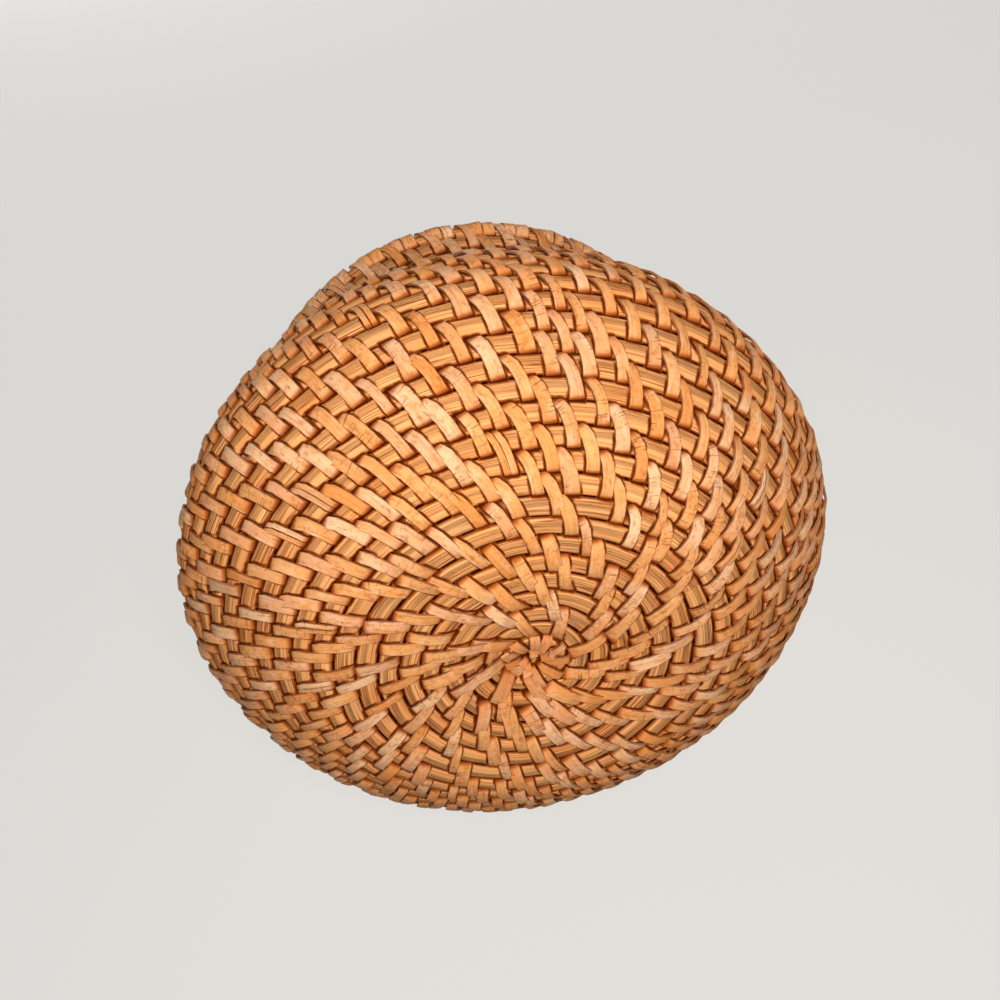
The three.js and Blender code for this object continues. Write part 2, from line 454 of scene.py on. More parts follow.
def ramp(tree, factor, stops):
    node = tree.nodes.new("ShaderNodeValToRGB")
    elements = node.color_ramp.elements
    while len(elements) < len(stops):
        elements.new(0.5)
    for element, (position, colour) in zip(elements, stops):
        element.position = position
        element.color = (*colour, 1) if isinstance(colour, tuple) else (colour, colour, colour, 1)
    link(tree, factor, node.inputs[0])
    return node.outputs[0]


def linear(red, green, blue):
    return tuple((c / 255 / 12.92) if c / 255 <= 0.04045 else ((c / 255 + 0.055) / 1.055) ** 2.4
                 for c in (red, green, blue))


def noise(tree, vector, scale, detail, roughness=0.5):
    node = tree.nodes.new("ShaderNodeTexNoise")
    node.inputs["Scale"].default_value = scale
    node.inputs["Detail"].default_value = detail
    node.inputs["Roughness"].default_value = roughness
    link(tree, vector, node.inputs["Vector"])
    return node.outputs[0]


def joinVector(tree, x, y, z):
    node = tree.nodes.new("ShaderNodeCombineXYZ")
    for socket, value in zip(node.inputs, (x, y, z)):
        feed(tree, value, socket)
    return node.outputs[0]


fibreLook = {
    "lotStep": 37.0, "streakDetail": 3, "streakRoughness": 0.6, "levelScale": 0.83, "levelRoughness": 0.4,
    "lineSharpness": 17.0, "fadeScale": 0.31, "fade": ((0.32, 0.35), (0.55, 1.0)),
}


def makeFibres(v):
    # long fibres: soft streaks that run along a cane or strip, and the thin dark lines between its fibres
    tree = bpy.data.node_groups.new("fibres", "ShaderNodeTree")
    for name, value in (("Along", 0), ("Side", 0), ("Lot", 0), ("Length", 20), ("Spacing", 0.6)):
        addInput(tree, "Float", name, value)
    addOutput(tree, "Float", "Streak")
    addOutput(tree, "Float", "Groove")
    enter = tree.nodes.new("NodeGroupInput").outputs
    far = over(tree, enter["Along"], enter["Length"])
    side = over(tree, enter["Side"], enter["Spacing"])
    vector = joinVector(tree, far, side, times(tree, enter["Lot"], v["lotStep"]))
    streak = noise(tree, vector, 1.0, v["streakDetail"], v["streakRoughness"])
    level = noise(tree, vector, v["levelScale"], 1, v["levelRoughness"])
    leave = tree.nodes.new("NodeGroupOutput")
    link(tree, streak, leave.inputs["Streak"])
    # a line lies where the noise crosses its middle
    away = mathNode(tree, "ABSOLUTE", minus(tree, level, 0.5))
    line = minus(tree, 1.0, times(tree, away, v["lineSharpness"]), True)
    strength = ramp(tree, noise(tree, vector, v["fadeScale"], 1), v["fade"])
    link(tree, times(tree, line, strength), leave.inputs["Groove"])
    return tree


fibres = makeFibres(fibreLook)


def startMaterial(name):
    material = bpy.data.materials.new(name)
    material.use_nodes = True
    tree = material.node_tree
    shader = tree.nodes["Principled BSDF"]
    return material, tree, shader


def shaderAttribute(tree, name):
    node = tree.nodes.new("ShaderNodeAttribute")
    node.attribute_name = name
    return node.outputs["Fac"]


def placeFibres(tree, **values):
    node = tree.nodes.new("ShaderNodeGroup")
    node.node_tree = fibres
    for name, value in values.items():
        feed(tree, value, node.inputs[name])
    return node.outputs["Streak"], node.outputs["Groove"]


def addBump(tree, shader, height, v):
    bump = tree.nodes.new("ShaderNodeBump")
    bump.inputs["Strength"].default_value = v["bumpStrength"]
    bump.inputs["Distance"].default_value = v["bump"]
    link(tree, height, bump.inputs["Height"])
    link(tree, bump.outputs[0], shader.inputs["Normal"])


# pairs are a value and the amount of colour there; lengths are in millimetres and the bump in metres
caneFinish = {
    "light": linear(245, 180, 116), "mid": linear(233, 160, 96), "dark": linear(130, 52, 8),
    # the warm and edge colours are painted shade, in the gaps between rounds and beside the strips
    "red": linear(214, 129, 68), "grey": linear(206, 155, 107), "warmShade": linear(174, 82, 20),
    "edge": linear(66, 12, 0), "girth": 14.0, "fibreLength": 36.0, "fibreSpacing": 0.58,
    "darkAt": 0.1, "midAt": 0.4, "lightAt": 0.62, "groove": 0.95,
    "patchLength": 14.0, "patchWidth": 9.0, "patch": ((0.42, 0.0), (0.7, 0.55)),
    "changeLength": 33.0, "changeLevel": 4.7, "redder": ((0.5, 0.0), (0.68, 0.55)),
    # from here: how much painted side shade the rim round, in the light, loses, and the painted shade at a
    # cane's sides in the gaps and beside the strips
    "greyer": ((0.3, 0.5), (0.44, 0.0)), "rimShadeLift": 0.75,
    "sideWarmShade": ((0.72, 0.0), (0.84, 0.62)), "sideShade": ((0.76, 0.0), (0.86, 0.55), (0.91, 1.0)),
    "contactWarmShade": ((0.25, 0.0), (0.6, 0.85)), "contactShade": ((0.4, 0.0), (0.9, 0.86)),
    "roughness": 0.72, "specular": 0.01, "bump": 0.00025, "bumpStrength": 0.8, "grooveBump": 0.6,
}


def makeCaneFinish(v):
    material, tree, shader = startMaterial("canePith")
    along = times(tree, shaderAttribute(tree, "along"), perMetre)
    side = times(tree, shaderAttribute(tree, "around"), v["girth"])
    across = mathNode(tree, "ABSOLUTE", shaderAttribute(tree, "across"))
    lot = shaderAttribute(tree, "tint")
    streak, groove = placeFibres(tree, Along=along, Side=side, Lot=lot,
                                 Length=v["fibreLength"], Spacing=v["fibreSpacing"])
    body = ramp(tree, streak, [(v["darkAt"], v["dark"]), (v["midAt"], v["mid"]),
                               (v["lightAt"], v["light"])])
    patchPlace = joinVector(tree, over(tree, along, v["patchLength"]),
                            over(tree, side, v["patchWidth"]), lot)
    body = tinted(tree, body, v["mid"], ramp(tree, noise(tree, patchPlace, 1.0, 2), v["patch"]))
    changePlace = joinVector(tree, over(tree, along, v["changeLength"]), lot, v["changeLevel"])
    change = noise(tree, changePlace, 1.0, 2)
    body = tinted(tree, body, v["red"], ramp(tree, change, v["redder"]))
    body = tinted(tree, body, v["grey"], ramp(tree, change, v["greyer"]))
    body = tinted(tree, body, v["dark"], times(tree, groove, v["groove"]))
    # painted shade, warm then dark, at the cane's sides in the gaps between rounds; the rim round, in the
    # light, keeps less of it
    shaded = minus(tree, 1.0, times(tree, shaderAttribute(tree, "rawPeelAndLitRim"), v["rimShadeLift"]))
    body = tinted(tree, body, v["warmShade"], times(tree, shaded, ramp(tree, across, v["sideWarmShade"])))
    body = tinted(tree, body, v["edge"], times(tree, shaded, ramp(tree, across, v["sideShade"])))
    # painted shade, warm then dark, beside the strips
    contact = shaderAttribute(tree, "contact")
    body = tinted(tree, body, v["warmShade"], ramp(tree, contact, v["contactWarmShade"]))
    body = tinted(tree, body, v["edge"], ramp(tree, contact, v["contactShade"]))
    link(tree, body, shader.inputs["Base Color"])
    shader.inputs["Roughness"].default_value = v["roughness"]
    shader.inputs["Specular IOR Level"].default_value = v["specular"]
    addBump(tree, shader, minus(tree, streak, times(tree, groove, v["grooveBump"])), v)
    return material


# rates: along the strip, across it and from one strip to the next
stripFinish = {
    "orange": linear(231, 148, 80), "honey": linear(238, 171, 109), "tan": linear(233, 170, 124),
    # painted shade: a deeper orange for the hollow base centre, and warm and dark brown along a strip's
    # edges and where it dives into a gap
    "cream": linear(246, 198, 153), "hollowShade": linear(206, 120, 56), "stain": linear(160, 79, 24),
    "speck": linear(96, 42, 10), "warmShade": linear(186, 92, 26), "edge": linear(104, 40, 8),
    "shade": linear(76, 18, 2), "torn": linear(255, 236, 200),
    "width": 3.1, "length": 28, "fibreLength": 18.0, "fibreSpacing": 0.5, "chanceStep": 3.0,
    "tints": ((0.0, "orange"), (0.14, "honey"), (0.45, "honey"), (0.65, "tan"), (0.85, "cream"),
              (1.0, "cream")),
    "lower": ((0.15, 0.0), (0.45, 0.55)),
    "cloudRates": (1 / 5, 1 / 3, 19.0), "cloudOrange": ((0.45, 0.0), (0.72, 0.65)),
    "cloudCream": ((0.25, 0.6), (0.46, 0.0)),
    "dirtRates": (0.55, 0.9, 29.0), "dirtRoughness": 0.7, "dirt": ((0.5, 0.0), (0.7, 0.6)),
    "dirtLots": ((0.2, 0.25), (0.9, 1.0)),
    # a deeper orange painted as shade in the hollow base centre, by distance from the axis over the reach
    # in millimetres
    "hollowShadeReach": 100.0, "hollowShading": ((0.05, 0.65), (0.17, 0.0)), "streaked": ((0.3, 0.35), (0.5, 0.0)),
    "crackRates": (2.6, 0.25, 53.0), "crack": ((0.63, 0.0), (0.67, 1.0)),
    "crackLots": ((0.55, 0.0), (0.7, 0.8)),
    "speckRates": (1.1, 2.4, 71.0), "specks": ((0.68, 0.0), (0.76, 0.9)), "marks": 0.7,
    # painted shade along a strip's edges, and warm then dark where it dives into a gap
    "sideShade": ((0.78, 0.0), (0.9, 0.25), (0.96, 0.7)),
    "diveWarmShade": ((0.05, 0.0), (0.32, 0.85)), "diveShade": ((0.18, 0.0), (0.6, 0.94)),
    "smoothest": 0.4, "roughest": 0.65, "specular": 0.045,
    "bump": 0.00012, "bumpStrength": 0.7, "markBump": 0.8, "grooveBump": 0.3,
}


def distanceFromAxis(tree):
    place = tree.nodes.new("ShaderNodeTexCoord")
    flat = tree.nodes.new("ShaderNodeVectorMath")
    flat.operation = "MULTIPLY"
    flat.inputs[1].default_value = (perMetre, perMetre, 0)
    link(tree, place.outputs["Object"], flat.inputs[0])
    far = tree.nodes.new("ShaderNodeVectorMath")
    far.operation = "LENGTH"
    link(tree, flat.outputs[0], far.inputs[0])
    return far.outputs["Value"]


def makeStripFinish(v):
    material, tree, shader = startMaterial("peelStrip")
    along = times(tree, shaderAttribute(tree, "along"), perMetre)
    acrossSigned = shaderAttribute(tree, "across")
    across = mathNode(tree, "ABSOLUTE", acrossSigned)
    side = times(tree, acrossSigned, v["width"] / 2)
    tint = shaderAttribute(tree, "tint")
    chance = shaderAttribute(tree, "chance")
    dive = shaderAttribute(tree, "dive")
    lot = mathNode(tree, "ADD", tint, times(tree, chance, v["chanceStep"]))
    streak, groove = placeFibres(tree, Along=along, Side=side, Lot=lot,
                                 Length=v["fibreLength"], Spacing=v["fibreSpacing"])

    def stripNoise(rates, detail, roughness=0.5):
        scaled = [times(tree, value, rate) for value, rate in zip((along, side, lot), rates)]
        return noise(tree, joinVector(tree, *scaled), 1.0, detail, roughness)

    body = ramp(tree, tint, [(at, v[colour]) for at, colour in v["tints"]])
    lower = ramp(tree, over(tree, along, v["length"]), v["lower"])
    body = tinted(tree, body, v["orange"], times(tree, lower, chance))
    cloud = stripNoise(v["cloudRates"], 3)
    body = tinted(tree, body, v["orange"], ramp(tree, cloud, v["cloudOrange"]))
    body = tinted(tree, body, v["cream"], ramp(tree, cloud, v["cloudCream"]))
    dirt = ramp(tree, stripNoise(v["dirtRates"], 4, v["dirtRoughness"]), v["dirt"])
    body = tinted(tree, body, v["stain"], times(tree, dirt, ramp(tree, lot, v["dirtLots"])))
    # painted shade of the hollow base centre: a deeper orange near the axis
    hollowShading = ramp(tree, over(tree, distanceFromAxis(tree), v["hollowShadeReach"]), v["hollowShading"])
    body = tinted(tree, body, v["hollowShade"], hollowShading)
    body = tinted(tree, body, v["stain"], ramp(tree, streak, v["streaked"]))
    crack = ramp(tree, stripNoise(v["crackRates"], 1), v["crack"])
    crack = times(tree, crack, ramp(tree, chance, v["crackLots"]))
    specks = ramp(tree, stripNoise(v["speckRates"], 2), v["specks"])
    marks = mathNode(tree, "MAXIMUM", crack, specks)
    body = tinted(tree, body, v["speck"], times(tree, marks, v["marks"]))
    # painted shade along the strip's edges, and warm then dark where it dives into a gap
    body = tinted(tree, body, v["edge"], ramp(tree, across, v["sideShade"]))
    body = tinted(tree, body, v["warmShade"], ramp(tree, dive, v["diveWarmShade"]))
    body = tinted(tree, body, v["shade"], ramp(tree, dive, v["diveShade"]))
    body = tinted(tree, body, v["torn"], shaderAttribute(tree, "rawPeelAndLitRim"))
    link(tree, body, shader.inputs["Base Color"])
    link(tree, valueMix(tree, "FLOAT", streak, v["smoothest"], v["roughest"]), shader.inputs["Roughness"])
    shader.inputs["Specular IOR Level"].default_value = v["specular"]
    height = minus(tree, streak, times(tree, marks, v["markBump"]))
    addBump(tree, shader, minus(tree, height, times(tree, groove, v["grooveBump"])), v)
    return material


canePith = makeCaneFinish(caneFinish)
peelStrip = makeStripFinish(stripFinish)
print("finishes ready")


# the core cane, laid in spliced lengths

def layCane(v):
    dice = np.random.default_rng(v["seed"])
    rounds = [v["firstRound"]]
    while rounds[-1] < lastRound:
        rounds.append(rounds[-1] + v["stationStep"] / girth(rounds[-1], 0))
    rounds = np.array(rounds[:-1])
    far = np.arange(len(rounds)) * v["stationStep"] / v["unevenStep"]
    changes = int(far[-1]) + 2
    uneven = np.interp(far, np.arange(changes), dice.normal(0, 1, changes))
    begun = rounds - v["firstRound"]
    startTaper = np.clip(begun / v["startTaper"], 0, 1) * (1 - v["startBreadth"]) + v["startBreadth"]
    endTaper = upperShare(rounds)
    breadth = (1 + v["unevenBreadth"] * uneven) * startTaper * endTaper
    lowered = (endTaper - 1) * v["caneWidth"] / 2
    dip = v["startDip"] * (1 - np.clip(begun / v["dipRounds"], 0, 1))
    deeper = v["unevenDepth"] * np.roll(uneven, v["depthLag"])
    points = onWall(rounds, lowered, v["caneDepth"] + deeper + dip)
    outward = unit(points - onWall(rounds, lowered, v["caneDepth"] + dip + 1))
    laid = np.concatenate([[0], np.cumsum(np.linalg.norm(np.diff(points, axis=0), axis=1))])
    lengths = []
    cuts = np.searchsorted(laid, laid[-1] * np.arange(1, v["lengths"]) / v["lengths"])
    for number, part in enumerate(np.split(np.arange(len(rounds)), cuts)):
        here = points[part]
        if number:
            before = points[part[0] - 1]
            butt = before + (here[0] - before) * v["spliceGap"] / v["stationStep"]
            here = np.vstack([butt, here])
            part = np.concatenate([[part[0] - 1], part])
        # on the rim round the sides are in the light, so no side shade is painted there
        onRim = np.clip((rounds[part] - lastRound + 1) * v["rimFade"], 0, 1)   # its sides are in the light
        lengths.append({"points": here, "facing": outward[part], "breadth": breadth[part],
                        "stitch": number, "rawPeelAndLitRim": onRim})
    return lengths


# the lashing: every stitch passes over two rounds
lashing = {
    "firstRound": 1.5, "spacingAt": (0, 6, 14, 27, 45, 200), "spacing": (5.0, 7.2, 9.6, 12.2, 12.5, 12.4),
    "shift": 0.49, "pull": 0.8, "widest": 1.3, "widestRange": (0.93, 1.07), "drawBack": 0.45,
    "lean": 4.6, "jitter": 0.55, "lowJitter": 0.7, "curlFrom": 28, "curlTo": 46, "reach": 0.08,
    "width": 3.3, "widthSpread": 0.11, "widthRange": (0.75, 1.25), "thickness": 0.6, "squareness": 0.22,
    "crown": 0.00006, "corners": 6, "lift": 0.07, "roll": 5, "flatDepth": 1.2, "outerDepth": 2,
    "nearAt": (0.5, 4, 9, 20, 32), "nearWidth": (0.6, 1, 1.16, 1.12, 1),
    "wallDepth": 5.02, "diveFrom": 0.3, "diveOver": 1.8,
    "splitShare": 0.05, "splitFrom": 5, "splitWidth": 0.47, "splitSide": 0.85, "splitRoll": 6,
    "rawShare": 0.012, "rawRange": (0.5, 0.9), "rawAt": (0.05, 0.16, 0.3), "seed": 5,
}
# on the rim stitches swell over the cane, and short ones round the last round alone fill the room between
rimStitch = {
    "rounds": 2.1, "reach": 0.35, "swell": 0.6, "swellFrom": 0.3, "swellOver": 0.5,
    "shadeFrom": 1.6, "shadeRate": 2, "shorts": 2, "room": 14.5, "shortBack": 0.75, "shortLean": 0.3,
    "width": 1.08, "widthSpread": 0.08, "widthRange": (0.9, 1.22),
}


def spacingAt(rounds):
    return float(np.interp((rounds + 0.5) * pitch, lashing["spacingAt"], lashing["spacing"]))


def placeStitches(first, last):
    # a stitch keeps its distance from the one before it and is drawn to the middle between those below
    dice = np.random.default_rng(lashing["seed"])
    places = [first]
    while True:
        step = spacingAt(places[-1]) / girth(places[-1], pitch / 2)
        place = places[-1] + step
        under = place - 1 + lashing["shift"] * step
        if under > first:
            after = bisect.bisect(places, under)
            nearest = min(places[max(after - 1, 0):after + 1], key=lambda p: abs(p - under))
            place += lashing["pull"] * float(np.clip(nearest - under, -step / 2, step / 2))
        room = place - places[-1]
        if room > step * lashing["widest"] * dice.uniform(*lashing["widestRange"]):
            place -= room * lashing["drawBack"]   # a stitch more where the row has widened
        if place > last:
            return np.array(places)
        places.append(place)


# one turn of the strip: share of the height it covers, depth under the outer face, and share of the lean
# on the wall and on the base; on the wall it curls over from the upper gap, on the base into the lower one
outerPath = np.array([
    (1.0, 2.6, 1.26, 1.05), (0.992, 1.6, 1.18, 1.04), (0.96, 0.95, 1.03, 1.02), (0.89, 0.47, 0.84, 0.97),
    (0.75, 0.1, 0.58, 0.87), (0.5, -0.25, 0.32, 0.66), (0.25, 0.1, 0.13, 0.38), (0.11, 0.47, 0.06, 0.12),
    (0.04, 0.95, 0.0, -0.08), (0.008, 1.6, -0.03, -0.2), (0.0, 2.6, -0.04, -0.26),
])
innerPath = np.array([
    (0.06, 4.3, 0.0, 0.0), (0.5, 4.75, 0.5, 0.5), (0.94, 4.3, 1.0, 1.0), (1.0, 2.6, 1.26, 1.05),
])
endWidth = np.array([0.64, 0.74, 0.86, 0.95, 1.0, 1.0, 1.01, 1.03, 1.03, 1.0, 0.96, 0.95, 1.0, 0.85, 0.64])


def stripLine(number, rounds, offset, depth, breadth, roll, rawPeelAndLitRim=0.0, shade=1.0):
    points = onWall(rounds, offset, depth)
    # how deep the strip has gone into a gap, where the finish paints its shade
    under = np.minimum(depth, lashing["wallDepth"] - depth)
    dive = np.clip((under - lashing["diveFrom"]) / lashing["diveOver"], 0, 1) * shade
    tilt = np.radians(roll) * np.clip(lashing["flatDepth"] - depth, 0, 1)
    outward = facing(points, rounds) * np.cos(tilt)[:, None] + rowDirection(rounds) * np.sin(tilt)[:, None]
    return {"points": points, "facing": outward, "breadth": breadth, "dive": dive, "stitch": number,
            "rawPeelAndLitRim": rawPeelAndLitRim}


def stitchLine(number, bottom, top, nextTop, low, look):
    # low: where the strip goes in, from the lower round's centre; its top follows the pared rim
    atRim = top > lastRound - rimStitch["rounds"]
    curlRoom = lashing["curlTo"] - lashing["curlFrom"]
    onBase = np.clip((lashing["curlTo"] - bottom * pitch) / curlRoom, 0, 1)
    outer, inner = (path[:, 2] * (1 - onBase) + path[:, 3] * onBase for path in (outerPath, innerPath))
    rounds = np.concatenate([bottom + (top - bottom) * outer, bottom + (nextTop - bottom) * inner])
    rounds = rounds + look.get("sidestep", 0) / girth(bottom, pitch / 2)
    reach = rimStitch["reach"] if atRim else lashing["reach"]
    high = pitch + coil["caneWidth"] * (upperShare(rounds + 1) - 0.5) + reach
    share = np.concatenate([outerPath[:, 0], innerPath[:, 0]])
    offset = low + share * (high - low)
    lifted = outerPath[:, 1] - look["lift"] * np.clip(lashing["flatDepth"] - outerPath[:, 1], 0, 1)
    depth = np.concatenate([lifted, innerPath[:, 1]])
    outside = np.where(depth < lashing["outerDepth"], 1, 0)
    shade = 1.0
    if atRim:
        upper = np.clip((offset - pitch * rimStitch["swellFrom"]) / (pitch * rimStitch["swellOver"]), 0, 1)
        depth = depth - rimStitch["swell"] * upper * outside
        # the rim's crest is no gap, so no shade is painted on the strips' tops there
        shade = np.clip(rimStitch["shadeFrom"] - rimStitch["shadeRate"] * share, 0, 1)
    near = np.interp(rounds * pitch + offset, lashing["nearAt"], lashing["nearWidth"])
    rawPeelAndLitRim = look["rawPeelAndLitRim"] * np.interp(share, lashing["rawAt"], (0, 1, 0)) * outside
    breadth = endWidth * look["width"] * near
    return stripLine(number, rounds, offset, depth, breadth, look["roll"], rawPeelAndLitRim, shade)


def lashRow(places, firstNumber, rim):
    v, r = lashing, rimStitch
    dice = np.random.default_rng(v["seed"] + firstNumber)
    low = -pitch / 2
    lines = []
    for index, (place, follow) in enumerate(zip(places[:-1], places[1:])):
        around = girth(place, pitch / 2)
        lean = (v["lean"] + dice.normal(0, v["jitter"])) / around
        bottom = place + dice.normal(0, v["jitter"] * v["lowJitter"]) / around
        look = {"width": np.clip(dice.normal(1.0, v["widthSpread"]), *v["widthRange"]),
                "lift": abs(dice.normal(0, v["lift"])), "roll": dice.normal(0, v["roll"])}
        number = 4 * (firstNumber + index)   # room for the halves and the short stitches beside it
        look["rawPeelAndLitRim"] = dice.uniform(*v["rawRange"]) if dice.random() < v["rawShare"] else 0
        # some strips have split along their length
        if dice.random() < v["splitShare"] and place > v["splitFrom"]:
            for side in (-1, 1):
                half = dict(look, width=look["width"] * v["splitWidth"], sidestep=side * v["splitSide"],
                            roll=look["roll"] + side * v["splitRoll"])
                lines.append(stitchLine(number + side, bottom, bottom - lean, follow - lean, low, half))
        else:
            lines.append(stitchLine(number, bottom, bottom - lean, follow - lean, low, look))
        if rim and place > lastRound - r["rounds"]:
            count = r["shorts"] + int((follow - place) * around > r["room"])
            turnLean = lean * r["shortLean"]
            for turn in range(count):
                middle = place + (follow - place) * (turn + 1) / (count + 1) - lean * r["shortBack"]
                width = np.clip(dice.normal(r["width"], r["widthSpread"]), *r["widthRange"])
                short = dict(look, width=width, roll=dice.normal(0, v["roll"]))
                lines.append(stitchLine(number + 2 + turn % 2, middle, middle - turnLean,
                                        middle + turnLean, pitch / 2, short))
    return lines


# the start of the coil: strips from its eye to the first lashed round
knot = {
    "strips": 11, "startSpread": 0.12, "inside": 1.9, "insideSpread": 0.5, "past": 0.3, "swirl": 14,
    "narrowEnd": 0.4, "widening": 0.17, "breadth": 0.82, "breadthSpread": 0.1,
    "breadthRange": (0.62, 1.05), "lift": 0.2, "roll": 8, "seed": 3, "firstNumber": 9000,
    "along": (0.0, 0.05, 0.16, 0.4, 0.7, 0.9, 0.97, 1.0),
    "depth": (2.8, 1.4, 0.55, 0.05, -0.05, 0.25, 0.9, 2.4),
}


def tieKnot(v):
    dice = np.random.default_rng(v["seed"])
    lines = []
    along, depth = np.array(v["along"]), np.array(v["depth"])
    for number in range(v["strips"]):
        start = (number + dice.normal(0, v["startSpread"])) / v["strips"] % 1
        inside = v["inside"] + dice.normal(0, v["insideSpread"])
        gap = start + (0.5 if start > lashing["firstRound"] - 1 else 1.5)
        outside = gap * pitch + v["past"]
        rounds = start - v["swirl"] / 360 * along
        s = inside + (outside - inside) * along
        breadth = np.clip(v["narrowEnd"] + (s - inside) * v["widening"], 0, 1)
        breadth = breadth * np.clip(dice.normal(v["breadth"], v["breadthSpread"]), *v["breadthRange"])
        lifted = depth - v["lift"] * dice.random()
        lines.append(stripLine(v["firstNumber"] + number, rounds, s - rounds * pitch, lifted, breadth,
                               dice.normal(0, v["roll"])))
    return lines


# strips drawn across the eye on the inside, at these shares of a round
crossing = {
    "at": (0.08, 0.25, 0.42), "points": 7, "reach": 5.2, "depth": 4.9, "depthStep": 0.25, "bow": 1.1,
    "breadth": 1.05, "firstNumber": 9200,
}


def crossEye(v):
    across = np.linspace(-1, 1, v["points"])
    breadth = np.full(v["points"], v["breadth"])
    lines = []
    for number, start in enumerate(v["at"]):
        rounds = np.full(v["points"], start)
        depth = v["depth"] - v["depthStep"] * number - v["bow"] * across ** 4
        lines.append(stripLine(v["firstNumber"] + number, rounds, across * v["reach"] - start * pitch,
                               depth, breadth, 0))
    return lines


# cut ends that stand up a little: azimuth, distance from the axis, length and heading of each
cutEnd = {
    "ends": ((-160, 5.4, 3.4, 30), (20, 2.6, 3.0, -20), (95, 3.8, 2.6, 60), (-75, 3.4, 2.4, 150),
             (160, 6.2, 2.8, 200), (-20, 6.6, 2.6, 120)),
    "points": 5, "depth": 0.5, "rise": 1.1, "breadth": 0.72, "roll": 6, "rawPeelAndLitRim": 0.15, "firstNumber": 9100,
}


def leaveEnds(v):
    step = np.linspace(0, 1, v["points"])
    breadth = np.full(v["points"], v["breadth"])
    lines = []
    for number, (azimuth, s, length, heading) in enumerate(v["ends"]):
        far = s + step * length * math.cos(math.radians(heading))
        turned = azimuth + np.degrees(step * length * math.sin(math.radians(heading)) / s)
        rounds = (turned - coil["startAzimuth"]) / 360
        lines.append(stripLine(v["firstNumber"] + number, rounds, far - rounds * pitch,
                               v["depth"] - v["rise"] * step, breadth, v["roll"], v["rawPeelAndLitRim"] * step ** 2))
    return lines


# the zones of the lashing, each from one round to another
zoneRounds = {"belly": 8, "collar": 6, "rim": 2.5}
places = placeStitches(lashing["firstRound"], lastRound - 1)
print("stitches:", len(places))
rising = np.argmax(outR) + 1
footRound = np.interp(vaseShape["footOuter"], outR[:rising], outS[:rising]) / pitch
bellyEnd = footRound + zoneRounds["belly"]
collarStart, rimStart = lastRound - zoneRounds["collar"], lastRound - zoneRounds["rim"]
zones = [("baseLashing", -1, footRound), ("bellyLashing", footRound, bellyEnd),
         ("shoulderLashing", bellyEnd, collarStart), ("collarLashing", collarStart, rimStart),
         ("rimLashing", rimStart, lastRound)]
lashingSet = bpy.data.collections.new("lashingSet")
for name, low, high in zones:
    chosen = np.where((places >= low) & (places < high))[0]
    own = places[chosen[0]:min(chosen[-1] + 2, len(places))]
    lines = lashRow(own, int(chosen[0]), name == "rimLashing")
    if name == "baseLashing":
        lines += tieKnot(knot) + crossEye(crossing) + leaveEnds(cutEnd)
    piece = sweepPiece(name, lines, stripSweep, {
        "Width": lashing["width"] * mm, "Thickness": lashing["thickness"] * mm,
        "Squareness": lashing["squareness"], "Crown": lashing["crown"], "Corners": lashing["corners"],
        "Seed": lashing["seed"], "Material": peelStrip})
    node = {"baseLashing": "base_lashing", "rimLashing": "rim_lashing"}.get(name)
    if node:
        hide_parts(*[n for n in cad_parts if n.startswith(node)])
    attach(piece, "root")
    lashingSet.objects.link(piece)
    print(name, len(lines), "strips,", countTriangles(piece), "triangles")


# the canes come after their strips, so that shade is painted on them beside the strips
caneNodes = sorted(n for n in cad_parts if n.startswith("core_cane"))
caneLengths = layCane(coil)
print("cane lengths:", len(caneLengths), "cane nodes:", len(caneNodes))
for number, line in enumerate(caneLengths):
    piece = sweepPiece("coreCane%02d" % (number + 1), [line], caneSweep, {
        "Width": coil["caneWidth"] * mm, "Thickness": coil["caneThickness"] * mm,
        "Squareness": coil["squareness"], "Crown": 0.0, "Corners": coil["corners"],
        "Seed": coil["seed"], "Strips": lashingSet, "Material": canePith})
    if number < len(caneNodes):
        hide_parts(caneNodes[number])
    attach(piece, "root")
    print(piece.name, countTriangles(piece), "triangles")
bpy.data.collections.remove(lashingSet)


# floor, backdrop and world
stageLook = {
    "pale": linear(228, 226, 222), "floorGlow": 0.68, "backdropGlow": 0.85, "reach": 4,
    "backdropGap": 0.0005, "fill": (1, 0.88, 0.7), "fillStrength": 0.06,
}


def paleRays(tree):
    # rays that see the pale stage; light from the world and the lamps is left as it is
    path = tree.nodes.new("ShaderNodeLightPath").outputs
    mirrored = mathNode(tree, "MAXIMUM", path["Is Glossy Ray"], path["Is Transmission Ray"])
    return mathNode(tree, "MAXIMUM", path["Is Camera Ray"], mirrored)


def mixShaders(tree, factor, first, second):
    mix = tree.nodes.new("ShaderNodeMixShader")
    feed(tree, factor, mix.inputs[0])
    link(tree, first.outputs[0], mix.inputs[1])
    link(tree, second.outputs[0], mix.inputs[2])
    return mix


def makeStageFinish(name, v, glowShare):
    # pale and seen only from its front; light passes it
    material = bpy.data.materials.new(name)
    material.use_nodes = True
    tree = material.node_tree
    tree.nodes.clear()
    diffuse = tree.nodes.new("ShaderNodeBsdfDiffuse")
    feed(tree, v["pale"], diffuse.inputs["Color"])
    glow = tree.nodes.new("ShaderNodeEmission")
    feed(tree, v["pale"], glow.inputs["Color"])
    even = mixShaders(tree, glowShare, diffuse, glow)
    clear = tree.nodes.new("ShaderNodeBsdfTransparent")
    geometry = tree.nodes.new("ShaderNodeNewGeometry")
    front = minus(tree, 1.0, geometry.outputs["Backfacing"])
    mix = mixShaders(tree, times(tree, paleRays(tree), front), clear, even)
    leave = tree.nodes.new("ShaderNodeOutputMaterial")
    link(tree, mix.outputs[0], leave.inputs[0])
    return material


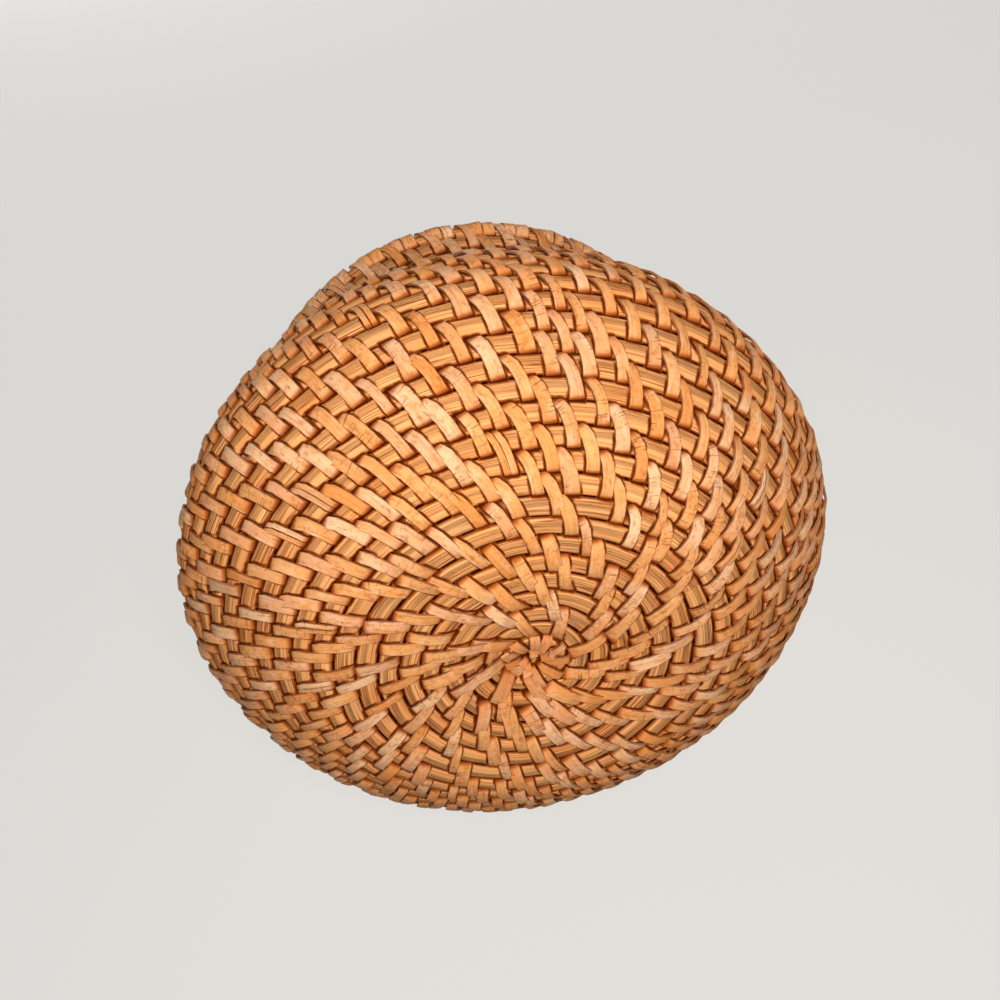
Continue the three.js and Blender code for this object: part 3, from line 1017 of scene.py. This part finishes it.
def makeStagePlane(name, centre, normal, reach, material):
    mesh = bpy.data.meshes.new(name)
    turn = Vector(normal).to_track_quat("Z", "Y").to_matrix()
    corners = [(-1, -1), (1, -1), (1, 1), (-1, 1)]
    points = [Vector(centre) + turn @ Vector((x * reach, y * reach, 0)) for x, y in corners]
    mesh.from_pydata([tuple(p) for p in points], [], [(0, 1, 2, 3)])
    mesh.materials.append(material)
    plane = bpy.data.objects.new(name, mesh)
    scene.collection.objects.link(plane)


floorFinish = makeStageFinish("paleFloor", stageLook, stageLook["floorGlow"])
backdropFinish = makeStageFinish("paleBackdrop", stageLook, stageLook["backdropGlow"])
makeStagePlane("floor", (0, 0, 0), (0, 0, 1), stageLook["reach"], floorFinish)
# the backdrop lies along the belly and the rim
slope = math.atan2(vaseShape["bellyRadius"] - vaseShape["rimRadius"],
                   vaseShape["height"] - vaseShape["bellyHeight"])
backdropNormal = (0, -math.cos(slope), -math.sin(slope))
backdropY = vaseShape["bellyRadius"] * mm + stageLook["backdropGap"]
backdropPoint = (0, backdropY, vaseShape["bellyHeight"] * mm)
makeStagePlane("backdrop", backdropPoint, backdropNormal, stageLook["reach"], backdropFinish)

world = bpy.data.worlds.new("studio")
scene.world = world
world.use_nodes = True
tree = world.node_tree
fill = tree.nodes["Background"]
feed(tree, stageLook["fill"], fill.inputs["Color"])
fill.inputs["Strength"].default_value = stageLook["fillStrength"]
pale = tree.nodes.new("ShaderNodeBackground")
feed(tree, stageLook["pale"], pale.inputs["Color"])
mix = mixShaders(tree, paleRays(tree), fill, pale)
link(tree, mix.outputs[0], tree.nodes["World Output"].inputs[0])


# lamps, in metres and watts; only the one behind shows in the strips' sheen
lamps = {
    "keySoft": {"place": (0.023, -0.234, -0.248), "aim": (0, -0.03, 0.03), "size": 0.13, "power": 1.57,
                "colour": (1, 0.97, 0.94), "shine": False},
    "backSoft": {"place": (-0.45, 0.8, 0.9), "aim": (0, 0, 0.08), "size": 0.8, "power": 11,
                 "colour": (1, 1, 1), "shine": True},
    "topSoft": {"place": (-0.1, -0.12, 1.05), "aim": (0, 0, 0.06), "size": 0.7, "power": 9,
                "colour": (1, 1, 1), "shine": False},
    "sideSoft": {"place": (0.8, 0.2, 0.75), "aim": (0, 0, 0.07), "size": 0.6, "power": 7,
                 "colour": (1, 1, 1), "shine": False},
}
for name, v in lamps.items():
    lamp = bpy.data.lights.new(name, "AREA")
    lamp.shape = "DISK"
    lamp.size = v["size"]
    lamp.energy = v["power"]
    lamp.color = v["colour"]
    holder = bpy.data.objects.new(name, lamp)
    holder.location = v["place"]
    holder.visible_glossy = v["shine"]
    holder.rotation_euler = (Vector(v["aim"]) - Vector(v["place"])).to_track_quat("-Z", "Y").to_euler()
    scene.collection.objects.link(holder)


# the camera of the photo, placed in millimetres
view = {
    "place": (3.22, -189.88, -184.36), "right": (0.9717, 0.1932, -0.1355), "up": (0.2360, -0.7825, 0.5763),
    "lens": 36.46, "sensor": 36, "nearest": 0.01,
}
camera = bpy.data.cameras.new("photoView")
camera.lens = view["lens"]
camera.sensor_width = view["sensor"]
camera.clip_start = view["nearest"]
cameraHolder = bpy.data.objects.new("photoView", camera)
right = Vector(view["right"]).normalized()
up = Vector(view["up"])
up = (up - right * up.dot(right)).normalized()
back = right.cross(up)
turn = Matrix((right, up, back)).transposed()
cameraHolder.matrix_world = Matrix.Translation(Vector(view["place"]) * mm) @ turn.to_4x4()
scene.collection.objects.link(cameraHolder)
scene.camera = cameraHolder
scene.view_settings.view_transform = "Standard"
print("stage ready")
